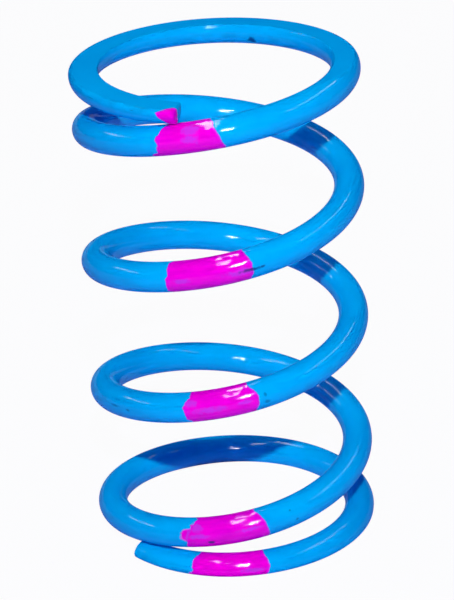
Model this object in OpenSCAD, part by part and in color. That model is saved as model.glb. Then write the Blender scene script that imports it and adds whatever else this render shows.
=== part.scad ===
// Drive clutch spring: a helical compression spring of round wire, right-hand wound,
// with both end coils closed against their neighbours and ground flat.
// The spring stands on its lower ground face, with its axis on +Z.

/* [Coil] */
// Outside diameter over the coils
coil_od = 60; // [50:0.5:80]
// Diameter of the coated wire
wire_d = 6.25; // [5:0.05:8]
// Height between the two ground faces with no load
free_length = 104; // [85:0.5:125]
// Turns of wire from the lower tip to the upper tip
total_turns = 5.09; // [4.5:0.01:6]
// Direction of the lower tip around the axis, in degrees from +X
lower_tip_angle = 221; // [0:1:359]

/* [Ends] */
// Lead of the closed end coils, which tapers the ground faces away from the tips
closed_lead = 2; // [0.5:0.1:4]
// Turns over which the wire opens from the closed lower end to its full lead
lower_opening_turns = 0.65; // [0.1:0.01:1]
// Turns over which the wire opens from the closed upper end to its full lead
upper_opening_turns = 0.36; // [0.1:0.01:1]
// Depth ground off the wire at each tip
grind_depth = 2.4; // [0.5:0.05:2.8]
// Clearance between a wire tip and the coil that it closes against
tip_clearance = 0.1; // [0.05:0.05:0.5]

/* [Smoothness] */
// Sections of wire in one turn
turn_sections = 48; // [32:4:56]
// Sides of the round wire section
wire_sides = 20; // [12:4:20]

/* [Hidden] */

wire_r = wire_d / 2;
coil_r = coil_od / 2 - wire_r;

// Heights of the wire's centre line at the two tips
lower_z = wire_r - grind_depth;
upper_z = free_length - lower_z;
climb = upper_z - lower_z;

// Rise over the first turn at which a tip just clears the coil beside it, less the part
// of it that the closed lead gives
opening_rise = wire_d + tip_clearance - closed_lead;

// Turns from a tip that keep the closed lead, so that with the lead opening evenly from
// there the tip just clears the coil beside it
function closed_turns(opening, lead) =
    let (gain = lead - closed_lead)
    gain * opening >= 2 * opening_rise
        ? 1 - sqrt(2 * opening * opening_rise / gain)
        : 1 - opening_rise / gain - opening / 2;

// Turns of an end that climb at the closed lead instead of the full one, in effect
function lost_turns(opening, lead) = closed_turns(opening, lead) + opening / 2;

// Full lead at which both ends and the coils between them add up to the climb,
// found by substitution until it no longer changes
function settled_lead(guess) =
    let (
        lost = lost_turns(lower_opening_turns, guess) + lost_turns(upper_opening_turns, guess),
        better = (climb - closed_lead * lost) / (total_turns - lost),
        settled = abs(better - guess) < better * 1e-12
    )
    settled ? better : settled_lead(better);

lead = settled_lead(climb / total_turns);

// Rise of the centre line from a tip, t turns along the wire from it
function end_rise(t, opening) =
    let (opened = max(t - closed_turns(opening, lead), 0))
    closed_lead * t + (lead - closed_lead) * (
        opened < opening
            ? opened * opened / (2 * opening)
            : opened - opening / 2
    );

// Lead of the centre line near an end, t turns along the wire from its tip
function end_lead(t, opening) =
    let (opened = max(t - closed_turns(opening, lead), 0))
    closed_lead + (lead - closed_lead) * min(opened / opening, 1);

// Height and lead of the centre line, t turns from the lower tip
middle = total_turns / 2;
function wire_z(t) =
    t < middle
        ? lower_z + end_rise(t, lower_opening_turns)
        : upper_z - end_rise(total_turns - t, upper_opening_turns);
function wire_lead(t) =
    t < middle
        ? end_lead(t, lower_opening_turns)
        : end_lead(total_turns - t, upper_opening_turns);

// Places along the wire: both tips, and the evenly spaced sections between them that
// lie at least half a step from a tip
first_turn = lower_tip_angle / 360;
last_turn = first_turn + total_turns;
places = [
    first_turn,
    for (i = [ceil(first_turn * turn_sections + 1 / 2) : floor(last_turn * turn_sections - 1 / 2)])
        i / turn_sections,
    last_turn
];

// One round section, square to the wire, at a place given in turns from +X
function section(place) =
    let (
        t = place - first_turn,
        angle = 360 * place,
        slant = atan(wire_lead(t) / (2 * PI * coil_r)),
        outward = [cos(angle), sin(angle), 0],
        upward = [sin(slant) * sin(angle), -sin(slant) * cos(angle), cos(slant)],
        centre = coil_r * outward + [0, 0, wire_z(t)]
    )
    [
        for (k = [0 : wire_sides - 1])
            let (turn = 360 * k / wire_sides)
            centre + wire_r * (cos(turn) * outward + sin(turn) * upward)
    ];

// Wire as wound, with square-cut tips and no ground faces
module wound_wire() {
    n = wire_sides;
    last = len(places) - 1;
    points = [for (place = places) each section(place)];
    sides = [
        for (i = [0 : last - 1], k = [0 : n - 1])
            let (next = (k + 1) % n)
            each [
                [i * n + k, i * n + next, (i + 1) * n + next],
                [i * n + k, (i + 1) * n + next, (i + 1) * n + k]
            ]
    ];
    lower_tip = [for (k = [n - 1 : -1 : 0]) k];
    upper_tip = [for (k = [0 : n - 1]) last * n + k];
    polyhedron(points, concat(sides, [lower_tip, upper_tip]));
}

// Block of waste that grinding takes off one end, a wire diameter high
module ground_waste(lowest_z) {
    side = coil_od + 2 * wire_d;
    translate([-side / 2, -side / 2, lowest_z])
        cube([side, side, wire_d]);
}

// The whole spring: wound, then ground flat at both ends
module spring() {
    color([0, 0.58, 0.94])
        difference() {
            wound_wire();
            ground_waste(-wire_d);
            ground_waste(free_length);
        }
}

spring();
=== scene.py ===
import math

import bpy
import numpy as np
from mathutils import Matrix, Quaternion, Vector


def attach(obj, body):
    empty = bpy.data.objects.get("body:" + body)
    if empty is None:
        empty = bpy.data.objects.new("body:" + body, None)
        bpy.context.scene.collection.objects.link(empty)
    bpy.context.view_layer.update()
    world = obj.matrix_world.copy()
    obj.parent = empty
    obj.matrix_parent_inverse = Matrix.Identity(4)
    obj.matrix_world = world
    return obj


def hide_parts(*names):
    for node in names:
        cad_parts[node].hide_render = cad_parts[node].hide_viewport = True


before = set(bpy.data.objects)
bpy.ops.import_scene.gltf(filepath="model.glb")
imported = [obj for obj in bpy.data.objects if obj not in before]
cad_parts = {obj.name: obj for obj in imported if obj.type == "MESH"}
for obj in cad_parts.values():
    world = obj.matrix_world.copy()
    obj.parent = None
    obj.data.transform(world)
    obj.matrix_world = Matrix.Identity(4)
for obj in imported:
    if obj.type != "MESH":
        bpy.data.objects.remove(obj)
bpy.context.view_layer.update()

# Spring: one length of round spring steel wire, wound right-hand in about five turns.
# The end coils are closed against their neighbours and ground flat, then the whole spring
# is powder coated blue, and a brush dabs one magenta marking band on the front of each coil.

MM = 0.001
COIL_OD = 60.0
WIRE_D = 6.25
FREE_LENGTH = 104.0
TOTAL_TURNS = 5.09
LOWER_TIP_ANGLE = math.radians(221.0)
CLOSED_LEAD = 2.0
LOWER_OPENING_TURNS = 0.65
UPPER_OPENING_TURNS = 0.36
GRIND_DEPTH = 2.4
TIP_CLEARANCE = 0.1
LEAD_TOLERANCE = 1e-9

WIRE_R = WIRE_D / 2
COIL_R = COIL_OD / 2 - WIRE_R
TURN_LENGTH = 2 * math.pi * COIL_R
LOWER_Z = WIRE_R - GRIND_DEPTH
UPPER_Z = FREE_LENGTH - LOWER_Z


# Turns from a tip that keep the closed lead, so that the tip just clears the coil beside it
def closed_turns(opening, lead):
    opening_rise = WIRE_D + TIP_CLEARANCE - CLOSED_LEAD
    gain = lead - CLOSED_LEAD
    if gain * opening >= 2 * opening_rise:
        return 1 - math.sqrt(2 * opening * opening_rise / gain)
    return 1 - opening_rise / gain - opening / 2


# Lead of the open coils, at which both ends and the coils between them add up to the height
def settled_lead():
    climb = UPPER_Z - LOWER_Z
    lead = climb / TOTAL_TURNS
    last = 0.0
    while abs(lead - last) > LEAD_TOLERANCE:
        last = lead
        lost = sum(closed_turns(opening, lead) + opening / 2
                   for opening in (LOWER_OPENING_TURNS, UPPER_OPENING_TURNS))
        lead = (climb - CLOSED_LEAD * lost) / (TOTAL_TURNS - lost)
    return lead


LEAD = settled_lead()
GAIN = LEAD - CLOSED_LEAD


# Rise and lead of the wire near an end, counted in turns from its tip
def end_rise(turns, opening):
    opened = np.maximum(turns - closed_turns(opening, LEAD), 0)
    eased = np.where(opened < opening, opened ** 2 / (2 * opening), opened - opening / 2)
    return CLOSED_LEAD * turns + GAIN * eased


def end_lead(turns, opening):
    opened = np.maximum(turns - closed_turns(opening, LEAD), 0)
    return CLOSED_LEAD + GAIN * np.minimum(opened / opening, 1)


def wire_height(turns):
    return np.where(turns < TOTAL_TURNS / 2,
                    LOWER_Z + end_rise(turns, LOWER_OPENING_TURNS),
                    UPPER_Z - end_rise(TOTAL_TURNS - turns, UPPER_OPENING_TURNS))


def wire_lead(turns):
    return np.where(turns < TOTAL_TURNS / 2,
                    end_lead(turns, LOWER_OPENING_TURNS),
                    end_lead(TOTAL_TURNS - turns, UPPER_OPENING_TURNS))


# Rings of the wire from tip to tip: across each cut end, round its rim, and along the wire
WIRE_SIDES = 64
RINGS_PER_TURN = 180
TIP_RIM = 0.55
RIM_STEPS = 6
END_SCALES = (0.12, 0.4, 0.7)

rim_angles = np.linspace(0, math.pi / 2, RIM_STEPS + 1)
rim_depths = TIP_RIM * (1 - np.cos(rim_angles))
rim_insets = TIP_RIM * (1 - np.sin(rim_angles))
tip_turns = np.concatenate([np.zeros(len(END_SCALES)), rim_depths / TURN_LENGTH])
tip_insets = np.concatenate([np.full(len(END_SCALES), TIP_RIM), rim_insets])
tip_scales = np.concatenate([END_SCALES, np.ones(RIM_STEPS + 1)])
body_count = round(TOTAL_TURNS * RINGS_PER_TURN)
body_turns = np.linspace(tip_turns[-1], TOTAL_TURNS - tip_turns[-1], body_count)[1:-1]

ring_turns = np.concatenate([tip_turns, body_turns, TOTAL_TURNS - tip_turns[::-1]])
ring_insets = np.concatenate([tip_insets, np.zeros(len(body_turns)), tip_insets[::-1]])
ring_scales = np.concatenate([tip_scales, np.ones(len(body_turns)), tip_scales[::-1]])

# Wire section swept round the axis, as many steps as there are rings
bpy.ops.object.select_all(action="DESELECT")
bpy.ops.mesh.primitive_circle_add(vertices=WIRE_SIDES, radius=WIRE_R * MM,
                                  location=(COIL_R * MM, 0, 0), rotation=(math.pi / 2, 0, 0))
spring = bpy.context.object
spring.name = "spring_wire"
bpy.ops.object.transform_apply(location=True, rotation=True, scale=True)
winding = spring.modifiers.new("winding", "SCREW")
winding.axis = "Z"
winding.angle = 2 * math.pi * TOTAL_TURNS
winding.screw_offset = (UPPER_Z - LOWER_Z) * MM
winding.steps = len(ring_turns) - 1
winding.render_steps = winding.steps
bpy.ops.object.modifier_apply(modifier=winding.name)

# Each ring moved to its true height and slant, with the two ground flats on it
OUTER_EDGE_R = 1.0
INNER_EDGE_R = 0.2
LEAST_EDGE_R = 0.02
TIP_RELIEF = 0.5
TIP_RELIEF_TURNS = 0.13
TIP_RELIEF_POWER = 1.5

turns = np.repeat(ring_turns, WIRE_SIDES)
insets = np.repeat(ring_insets, WIRE_SIDES)
scales = np.repeat(ring_scales, WIRE_SIDES)
facing = np.tile(2 * math.pi * np.arange(WIRE_SIDES) / WIRE_SIDES, len(ring_turns))
facing = (facing + math.pi) % (2 * math.pi) - math.pi
slant = np.arctan(wire_lead(turns) / TURN_LENGTH)
height = wire_height(turns)
section_r = WIRE_R - insets
edge_r = np.where(np.cos(facing) > 0, OUTER_EDGE_R, INNER_EDGE_R) - insets
edge_r = np.maximum(edge_r, LEAST_EDGE_R)

# Wear on a ground edge, by the tilt of the surface in radians from the ground face: where it
# starts, over how much it grows, and over how much it fades past the edge
WEAR_STARTS = 0.1
WEAR_GROWS = 0.3
WEAR_FADES = 0.15
TILT_DECIMALS = 6


# Section across and up the wire: round, or flat with rounded edges where it is ground
def ground_section(across, up, plane, side):
    core = section_r - edge_r
    depth = plane - insets - edge_r
    reach = np.arccos(np.clip(depth / core, -1, 1))
    tilt = np.arctan2(np.cos(facing), side * np.sin(facing))
    on_edge = (np.abs(tilt) < reach) & (depth < core)
    edge_side = np.sign(np.round(tilt, TILT_DECIMALS))
    across = np.where(on_edge, core * np.sin(reach) * edge_side + edge_r * np.sin(tilt), across)
    up = np.where(on_edge, side * (depth + edge_r * np.cos(tilt)), up)
    grown = np.clip((np.abs(tilt) - WEAR_STARTS) / WEAR_GROWS, 0, 1)
    faded = np.clip((reach - np.abs(tilt)) / WEAR_FADES + 1, 0, 1)
    wear = np.where(depth < core, grown * faded, 0)
    return across, up, wear


def tip_relief(from_tip):
    return TIP_RELIEF * np.clip(1 - from_tip / TIP_RELIEF_TURNS, 0, 1) ** TIP_RELIEF_POWER


across = section_r * np.cos(facing)
up = section_r * np.sin(facing)
lower_plane = (height - tip_relief(turns)) / np.cos(slant)
upper_plane = (FREE_LENGTH - tip_relief(TOTAL_TURNS - turns) - height) / np.cos(slant)
across, up, lower_wear = ground_section(across, up, lower_plane, -1)
across, up, upper_wear = ground_section(across, up, upper_plane, 1)
rim_wear = np.where((insets > 0) & (insets < TIP_RIM), 1.0, 0.0)
edge_wear = np.maximum(np.maximum(lower_wear, upper_wear), rim_wear)
ring_up = up.reshape(-1, WIRE_SIDES)
middle_up = np.repeat((ring_up.max(axis=1) + ring_up.min(axis=1)) / 2, WIRE_SIDES)
across = across * scales
up = middle_up + (up - middle_up) * scales

around = LOWER_TIP_ANGLE + 2 * math.pi * turns
outward = COIL_R + across
places = np.stack([
    outward * np.cos(around) + up * np.sin(slant) * np.sin(around),
    outward * np.sin(around) - up * np.sin(slant) * np.cos(around),
    height + up * np.cos(slant),
], axis=1)
spring.data.vertices.foreach_set("co", (places * MM).ravel())
spring.data.update()

# Cut ends closed, and the shading kept flat on the ground faces
FLAT_WEIGHT = 60

bpy.ops.object.mode_set(mode="EDIT")
bpy.ops.mesh.select_mode(type="EDGE")
bpy.ops.mesh.select_all(action="DESELECT")
bpy.ops.mesh.select_non_manifold(extend=False)
bpy.ops.mesh.fill_holes(sides=0)
bpy.ops.mesh.select_all(action="SELECT")
bpy.ops.mesh.normals_make_consistent(inside=False)
bpy.ops.object.mode_set(mode="OBJECT")
bpy.ops.object.shade_smooth()
shading = spring.modifiers.new("shading", "WEIGHTED_NORMAL")
shading.weight = FLAT_WEIGHT
bpy.ops.object.modifier_apply(modifier=shading.name)

# Place on the wire in millimetres, along it and round it, as a UV map with its seam inside
mesh = spring.data
corner_points = np.zeros(len(mesh.loops), dtype=np.int32)
mesh.loops.foreach_get("vertex_index", corner_points)
face_starts = np.zeros(len(mesh.polygons), dtype=np.int32)
mesh.polygons.foreach_get("loop_start", face_starts)
face_sizes = np.diff(np.append(face_starts, len(mesh.loops)))
corner_facing = facing[corner_points]
highest_facing = np.maximum.reduceat(corner_facing, face_starts)
lowest_facing = np.minimum.reduceat(corner_facing, face_starts)
on_seam = np.repeat(highest_facing - lowest_facing > math.pi, face_sizes)
corner_facing = np.where(on_seam & (corner_facing < 0), corner_facing + 2 * math.pi, corner_facing)
corner_places = np.stack([turns[corner_points] * TURN_LENGTH, corner_facing * WIRE_R], axis=1)
wire_lay = mesh.uv_layers.new(name="wire_lay")
wire_lay.data.foreach_set("uv", corner_places.ravel())

# Marking bands, one brush stroke to a coil: turns from the lower tip at which the left and
# right edges of each lie on the underside, the outside and the top of the wire
BAND_FACINGS = np.radians((-40.0, 20.0, 80.0))
BANDS = (
    ((0.078, 0.0805, 0.087), (0.167, 0.171, 0.166)),
    ((1.076, 1.077, 1.087), (1.170, 1.170, 1.161)),
    ((2.086, 2.082, 2.090), (2.163, 2.168, 2.159)),
    ((3.071, 3.072, 3.076), (3.163, 3.168, 3.161)),
    ((4.063, 4.070, 4.079), (4.142, 4.137, 4.131)),
)
BRUSH_FACING = math.radians(24.0)
BRUSH_REACH = math.radians(104.0)
LANDING_RAGGED = 1.0
LIFTING_RAGGED = 0.35
LANDING_MARGIN = 4.0
NO_BAND = -20.0

band_facing = np.clip(facing, BAND_FACINGS[0], BAND_FACINGS[2])
band_reach = np.full(len(turns), NO_BAND)
band_ragged = np.full(len(turns), LIFTING_RAGGED)
for left, right in BANDS:
    past_left = (turns - np.interp(band_facing, BAND_FACINGS, left)) * TURN_LENGTH
    short_of_right = (np.interp(band_facing, BAND_FACINGS, right) - turns) * TURN_LENGTH
    band_reach = np.maximum(band_reach, np.minimum(past_left, short_of_right))
    landing = (past_left < short_of_right) & (past_left > -LANDING_MARGIN)
    band_ragged = np.where(landing, LANDING_RAGGED, band_ragged)
brush_tilt = np.abs((facing - BRUSH_FACING + math.pi) % (2 * math.pi) - math.pi)
band_reach = np.minimum(band_reach, (BRUSH_REACH - brush_tilt) * WIRE_R)

# Dab of the same paint on the upper tip: a wedge up the wire's side and over its cut end
DAB_START = 5.070
DAB_LEVEL = -0.25
DAB_TOP_SLOPE = 0.45
DAB_TILT = 0.35
DAB_LOW_SLOPE = -1.27
DAB_INNER = 0.2
DAB_OUTER = 2.6

dab_along = (turns - DAB_START) * TURN_LENGTH
below_top = DAB_LEVEL + DAB_TOP_SLOPE * dab_along + DAB_TILT * (across - DAB_OUTER) - up
above_low = up - DAB_LEVEL - DAB_LOW_SLOPE * dab_along
dab_reach = np.minimum(np.minimum(below_top, above_low), across - DAB_INNER)
band_reach = np.maximum(band_reach, dab_reach)

point_values = {"band_reach": band_reach, "band_ragged": band_ragged, "edge_wear": edge_wear}
for name, values in point_values.items():
    attribute = mesh.attributes.new(name, "FLOAT", "POINT")
    attribute.data.foreach_set("value", values)

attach(spring, "root")
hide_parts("spring")

# Powder coat and marking paint in one finish
COAT_BLUE = (0.0, 0.47, 0.88, 1.0)
COAT_SHADE = (0.0, 0.425, 0.83, 1.0)
# Darker blue, used both for the wear on the ground edges and for the darker patch inside the top
# coil
DARKER_BLUE = (0.004, 0.12, 0.36, 1.0)
BAND_MAGENTA = (0.98, 0.0, 0.65, 1.0)
STREAK_MAGENTA = (0.84, 0.0, 0.60, 1.0)
THIN_MAGENTA = (0.40, 0.07, 0.78, 1.0)
CHIP_NAVY = (0.003, 0.03, 0.17, 1.0)


# Empty node tree of a material or a room, which add_node then fills
def open_tree(owner):
    owner.use_nodes = True
    owner.node_tree.nodes.clear()
    return owner.node_tree.nodes, owner.node_tree.links


finish = bpy.data.materials.new("powder_coat")
nodes, links = open_tree(finish)


# Node with its settings and its inputs, each a number, a colour or another node's output
def add_node(kind, inputs=(), **settings):
    made = nodes.new(kind)
    for name, value in settings.items():
        setattr(made, name, value)
    for name, value in dict(inputs).items():
        if isinstance(value, bpy.types.NodeSocket):
            links.new(value, made.inputs[name])
        else:
            made.inputs[name].default_value = value
    return made


def number(operation, first, second=0.0):
    return add_node("ShaderNodeMath", {0: first, 1: second}, operation=operation).outputs[0]


def vector(operation, first, second=(0.0, 0.0, 0.0), output="Vector"):
    made = add_node("ShaderNodeVectorMath", {0: first, 1: second}, operation=operation)
    return made.outputs[output]


def colour_mix(share, first, second):
    return add_node("ShaderNodeMix", {0: share, 6: first, 7: second}, data_type="RGBA").outputs[2]


def noise(where, scale, detail=3.0):
    made = add_node("ShaderNodeTexNoise", {"Vector": where, "Scale": scale, "Detail": detail})
    return made.outputs["Fac"]


# Value from 0 to 1 as a noise or distance goes from one level to another
def ramp(value, low, high):
    made = add_node("ShaderNodeMapRange", {"Value": value, "From Min": low, "From Max": high})
    return made.outputs[0]


# Value from one level to another as a mask goes from 0 to 1
def between(mask, low, high):
    made = add_node("ShaderNodeMapRange", {"Value": mask, "To Min": low, "To Max": high})
    return made.outputs[0]


def stored(name):
    return add_node("ShaderNodeAttribute", attribute_name=name).outputs["Fac"]


place = add_node("ShaderNodeTexCoord").outputs["Object"]
lay = add_node("ShaderNodeUVMap", uv_map="wire_lay").outputs["UV"]

SPOT_GRAIN = 1100.0
NO_SPOT = 9.0


# Mask of small ragged spots, each given by its turns from the lower tip, its degrees round
# the wire, and its length and width in millimetres
def spots(marks, blur, roughness=2.0):
    nearest = NO_SPOT
    ragged = number("MULTIPLY", noise(place, SPOT_GRAIN), roughness)
    for turn, degrees, length, width in marks:
        centre = (turn * TURN_LENGTH, math.radians(degrees) * WIRE_R, 0.0)
        offset = vector("MULTIPLY", vector("SUBTRACT", lay, centre), (2 / length, 2 / width, 0.0))
        nearest = number("MINIMUM", vector("LENGTH", offset, output="Value"), nearest)
    rim = 1.0 + roughness / 2
    return ramp(number("ADD", nearest, ragged), rim + blur, rim - blur)


# Ragged edges of the paint, with a lobe where the brush landed on the second coil
LANDING_LOBES = ((1.080, 13.0, 3.4, 2.8),)
LOBE_BLUR = 0.15
LOBE_ROUGHNESS = 0.7
RAGGED_GRAIN = 420.0
RAGGED_MM = 3.2
EDGE_BLUR_MM = 0.08

ragged = number("MULTIPLY", number("SUBTRACT", noise(place, RAGGED_GRAIN), 0.5), RAGGED_MM)
ragged_reach = number("ADD", stored("band_reach"), number("MULTIPLY", ragged, stored("band_ragged")))
lobes = spots(LANDING_LOBES, LOBE_BLUR, roughness=LOBE_ROUGHNESS)
paint = number("MAXIMUM", ramp(ragged_reach, -EDGE_BLUR_MM, EDGE_BLUR_MM), lobes)

# Brush streaks along the wire, and the spots and edges where the paint is thin
STREAK_SCALE = (0.25, 0.9, 0.0)
THIN_SPOTS = (
    (4.108, 45.0, 2.8, 2.2),
    (4.107, 10.0, 2.6, 1.6),
    (3.090, -1.0, 2.6, 1.0),
    (3.158, -3.0, 6.0, 1.3),
    (2.090, 36.0, 3.0, 1.4),
    (2.112, 4.0, 5.6, 1.2),
    (2.151, 10.0, 2.6, 0.7),
    (1.090, 42.0, 1.9, 1.7),
    (1.092, 8.0, 3.4, 0.9),
    (1.150, 12.0, 4.0, 0.7),
    (0.150, 12.0, 4.4, 0.9),
)
THIN_BLUR = 0.4
THIN_EDGE_MM = 0.4

streaks = noise(vector("MULTIPLY", lay, STREAK_SCALE), 1.0)
thin_edge = ramp(number("ABSOLUTE", ragged_reach), THIN_EDGE_MM, 0.0)
thin = number("MAXIMUM", spots(THIN_SPOTS, THIN_BLUR), thin_edge)

# Chips, which show dark, and fainter smudges on the coat
CHIPS = (
    (4.580, -150.0, 1.6, 1.5),
    (3.164, -1.5, 4.0, 0.6),
    (3.177, -1.0, 0.9, 0.5),
    (1.105, -21.0, 1.2, 0.7),
)
CHIP_BLUR = 0.4
SMUDGES = (
    (5.042, 14.0, 0.8, 0.5),
    (4.979, 13.0, 2.0, 0.35),
    (2.175, 20.0, 0.5, 0.7),
    (2.175, -10.0, 1.0, 0.7),
    (1.199, 37.0, 0.4, 0.4),
    (1.204, -8.0, 0.6, 0.5),
    (1.983, 8.0, 3.2, 0.45),
    (2.008, 0.5, 0.9, 0.5),
)
SMUDGE_BLUR = 0.5
SMUDGE_SHARE = 0.6

smudged = number("MULTIPLY", spots(SMUDGES, SMUDGE_BLUR), SMUDGE_SHARE)
chipped = number("MAXIMUM", spots(CHIPS, CHIP_BLUR), smudged)

# Drift in the coat's colour, wear on the ground edges, and a darker patch along the inside of the
# top coil at the back
DRIFT_GRAIN = 90.0
DRIFT_LEVELS = (0.35, 0.7)
# Darker patch inside the top coil at the back: turns from the lower tip, degrees round the wire, and
# length and width in mm
TOP_COIL_DARK_PATCH = ((4.615, -165.0, 46.0, 5.0),)
DARK_PATCH_BLUR = 0.8
DARKER_GRAIN = 300.0
DARKER_LEVELS = (0.35, 0.75)

coat_drift = ramp(noise(place, DRIFT_GRAIN), *DRIFT_LEVELS)
wear_and_dark_patch = number("MAXIMUM", stored("edge_wear"), spots(TOP_COIL_DARK_PATCH, DARK_PATCH_BLUR))
wear_and_dark_patch = number("MULTIPLY", wear_and_dark_patch, ramp(noise(place, DARKER_GRAIN), *DARKER_LEVELS))

# Colour: coat with its edge wear and its darker patch, paint and its thin places over it, and the
# chips through both
DARKER_SHARE = 0.3
STREAK_LEVELS = (0.40, 0.72)
THIN_SHARE = 0.45
CHIP_SHARE = 0.85

coat = colour_mix(coat_drift, COAT_BLUE, COAT_SHADE)
coat = colour_mix(number("MULTIPLY", wear_and_dark_patch, DARKER_SHARE), coat, DARKER_BLUE)
magenta = colour_mix(ramp(streaks, *STREAK_LEVELS), BAND_MAGENTA, STREAK_MAGENTA)
magenta = colour_mix(number("MULTIPLY", thin, THIN_SHARE), magenta, THIN_MAGENTA)
colour = colour_mix(paint, coat, magenta)
colour = colour_mix(number("MULTIPLY", chipped, CHIP_SHARE), colour, CHIP_NAVY)

# Heights in millimetres: fine orange peel, lumpy brushed paint, and the hollows of the chips
PEEL_GRAIN = 520.0
PEEL_MM = 0.0015
LUMP_GRAIN = 600.0
LUMPS_MM = 0.006
STREAKS_MM = 0.002
PAINT_MM = 0.03
CHIP_MM = -0.08

peel = number("MULTIPLY", noise(place, PEEL_GRAIN, detail=1.0), PEEL_MM)
lumps = number("MULTIPLY", noise(place, LUMP_GRAIN, detail=0.0), LUMPS_MM)
brushed = number("ADD", number("ADD", lumps, PAINT_MM), number("MULTIPLY", streaks, STREAKS_MM))
surface = number("ADD", peel, number("MULTIPLY", paint, brushed))
surface = number("ADD", surface, number("MULTIPLY", chipped, CHIP_MM))
bump = add_node("ShaderNodeBump", {"Height": surface, "Strength": 1.0, "Distance": MM})
relief = bump.outputs["Normal"]

# Gloss: even on the coat and the side of the paint, and in patches on top of the paint, with
# the place round the wire at which the top starts and is reached in millimetres
COAT_GLOSS = 0.10
PAINT_GLOSS = 0.14
TOP_GLOSS = 0.30
TOP_STARTS = 1.9
TOP_REACHED = 2.2
PATCH_GRAIN = 650.0
PATCH_LEVELS = (0.43, 0.48)
COAT_ROUGHNESS = (0.34, 0.46)
GLOSS_ROUGHNESS = 0.05
LACQUER_IOR = 1.5
MATT_SHARE = 0.9

round_wire = add_node("ShaderNodeSeparateXYZ", {0: lay}).outputs["Y"]
on_top = ramp(round_wire, TOP_STARTS, TOP_REACHED)
patchy = number("MULTIPLY", ramp(noise(place, PATCH_GRAIN, detail=2.0), *PATCH_LEVELS), TOP_GLOSS)
paint_gloss = between(on_top, PAINT_GLOSS, patchy)
gloss = between(paint, COAT_GLOSS, paint_gloss)
matt = number("MULTIPLY", stored("edge_wear"), MATT_SHARE)
kept_gloss = number("SUBTRACT", 1.0, number("MAXIMUM", chipped, matt))
shader = add_node("ShaderNodeBsdfPrincipled", {
    "Base Color": colour,
    "Roughness": between(coat_drift, *COAT_ROUGHNESS),
    "IOR": LACQUER_IOR,
    "Specular IOR Level": 0.0,
    "Coat Weight": number("MULTIPLY", gloss, kept_gloss),
    "Coat Roughness": GLOSS_ROUGHNESS,
    "Coat IOR": LACQUER_IOR,
    "Coat Normal": relief,
    "Normal": relief,
})
add_node("ShaderNodeOutputMaterial", {"Surface": shader.outputs["BSDF"]})
mesh.materials.clear()
mesh.materials.append(finish)

# Floor: a plain pale sheet that the spring stands on, which keeps its shadow.
# It looks white to the camera and in reflections, and sends cool light back up to the coils.
FLOOR_SIZE = 6.0
PAPER = (0.36, 0.40, 0.76, 1.0)
WHITE = (1.0, 1.0, 1.0, 1.0)
WHITE_SHARE = 0.965

bpy.ops.object.select_all(action="DESELECT")
bpy.ops.mesh.primitive_plane_add(size=FLOOR_SIZE, location=(0, 0, 0))
floor = bpy.context.object
floor.name = "floor"
sheet = bpy.data.materials.new("white_sweep")
nodes, links = open_tree(sheet)
rays = add_node("ShaderNodeLightPath").outputs
seen = number("MAXIMUM", rays["Is Camera Ray"], rays["Is Glossy Ray"])
seen = number("MAXIMUM", seen, rays["Is Transmission Ray"])
paper = add_node("ShaderNodeBsdfDiffuse", {"Color": PAPER}).outputs["BSDF"]
glow = add_node("ShaderNodeEmission", {"Color": WHITE, "Strength": 1.0}).outputs["Emission"]
share = number("MULTIPLY", seen, WHITE_SHARE)
floor_mix = add_node("ShaderNodeMixShader", {0: share, 1: paper, 2: glow}).outputs["Shader"]
add_node("ShaderNodeOutputMaterial", {"Surface": floor_mix})
floor.data.materials.append(sheet)

# Room: dim and blue all round, so that the lamps and the floor do the lighting
# and the shadows on the coat stay a deep blue
ROOM_SHADE = (0.015, 0.025, 0.23, 1.0)

room = bpy.data.worlds.new("dim_room")
bpy.context.scene.world = room
nodes, links = open_tree(room)
surround = add_node("ShaderNodeBackground", {"Color": ROOM_SHADE, "Strength": 1.0})
add_node("ShaderNodeOutputWorld", {"Surface": surround.outputs["Background"]})

# Lamps: a small key above the camera that lights the spring, a soft panel behind it and a
# lamp overhead, which the gloss doesn't show, and reflectors and tubes that only the gloss shows
MIDDLE = Vector((0, 0, FREE_LENGTH * MM / 2))


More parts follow.
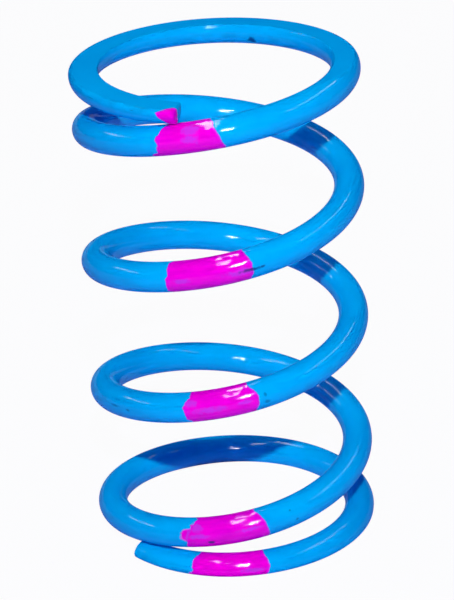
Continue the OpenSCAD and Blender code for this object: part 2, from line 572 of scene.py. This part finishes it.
# Lamp by its degrees round from the camera and up, its distance, width and height in metres,
# its brightness, and the degrees that it is turned about the line to the spring
def add_lamp(name, azimuth, elevation, distance, width, height, brightness,
             turn=0.0, lights=True, shows=True):
    side = math.radians(azimuth)
    rise = math.radians(elevation)
    direction = Vector((math.sin(side) * math.cos(rise),
                        -math.cos(side) * math.cos(rise),
                        math.sin(rise)))
    lamp = bpy.data.lights.new(name, "AREA")
    lamp.shape = "RECTANGLE"
    lamp.size = width
    lamp.size_y = height
    lamp.energy = brightness * math.pi * width * height
    holder = bpy.data.objects.new(name, lamp)
    holder.location = MIDDLE + direction * distance
    turned = Quaternion((0, 0, 1), math.radians(turn))
    holder.rotation_euler = (direction.to_track_quat("Z", "Y") @ turned).to_euler()
    holder.visible_diffuse = lights
    holder.visible_glossy = shows
    bpy.context.scene.collection.objects.link(holder)


add_lamp("key_lamp", 1.5, 33.5, 0.7, 0.012, 0.012, 8600.0, shows=False)
add_lamp("key_reflector", 1.5, 33.5, 0.72, 0.12, 0.22, 210.0, lights=False)
add_lamp("back_panel", -160.0, 50.0, 1.4, 0.8, 0.8, 1.7, shows=False)
add_lamp("back_reflector", -149.0, 67.5, 1.0, 0.10, 0.65, 40.0, turn=-32.0, lights=False)
add_lamp("left_tube", -107.0, 29.5, 0.9, 0.56, 0.05, 36.0, lights=False)
add_lamp("right_tube", 98.0, 50.0, 1.0, 1.12, 0.08, 26.0, lights=False)
add_lamp("top_lamp", -45.0, 71.0, 1.0, 0.10, 0.20, 10.0, shows=False)
add_lamp("top_reflector", -40.0, 70.5, 1.02, 0.13, 0.70, 36.0, turn=40.0, lights=False)

# Camera: a long lens a little above the spring, rolled a little as the photograph is.
# Its place and angles were fitted to the outline of the coils.
CAMERA_PLACE = Vector((0.165, -556.208, 290.352)) * MM
CAMERA_ELEVATION = math.radians(23.314)
CAMERA_ROLL = math.radians(2.944)
LENS_MM = 171.22
SENSOR_MM = 36.0

view = bpy.data.cameras.new("camera")
view.lens = LENS_MM
view.sensor_width = SENSOR_MM
camera = bpy.data.objects.new("camera", view)
camera.location = CAMERA_PLACE
camera.rotation_euler = (Matrix.Rotation(math.pi / 2 - CAMERA_ELEVATION, 3, "X")
                         @ Matrix.Rotation(-CAMERA_ROLL, 3, "Z")).to_euler()
bpy.context.scene.collection.objects.link(camera)
bpy.context.scene.camera = camera
bpy.context.scene.view_settings.view_transform = "Standard"
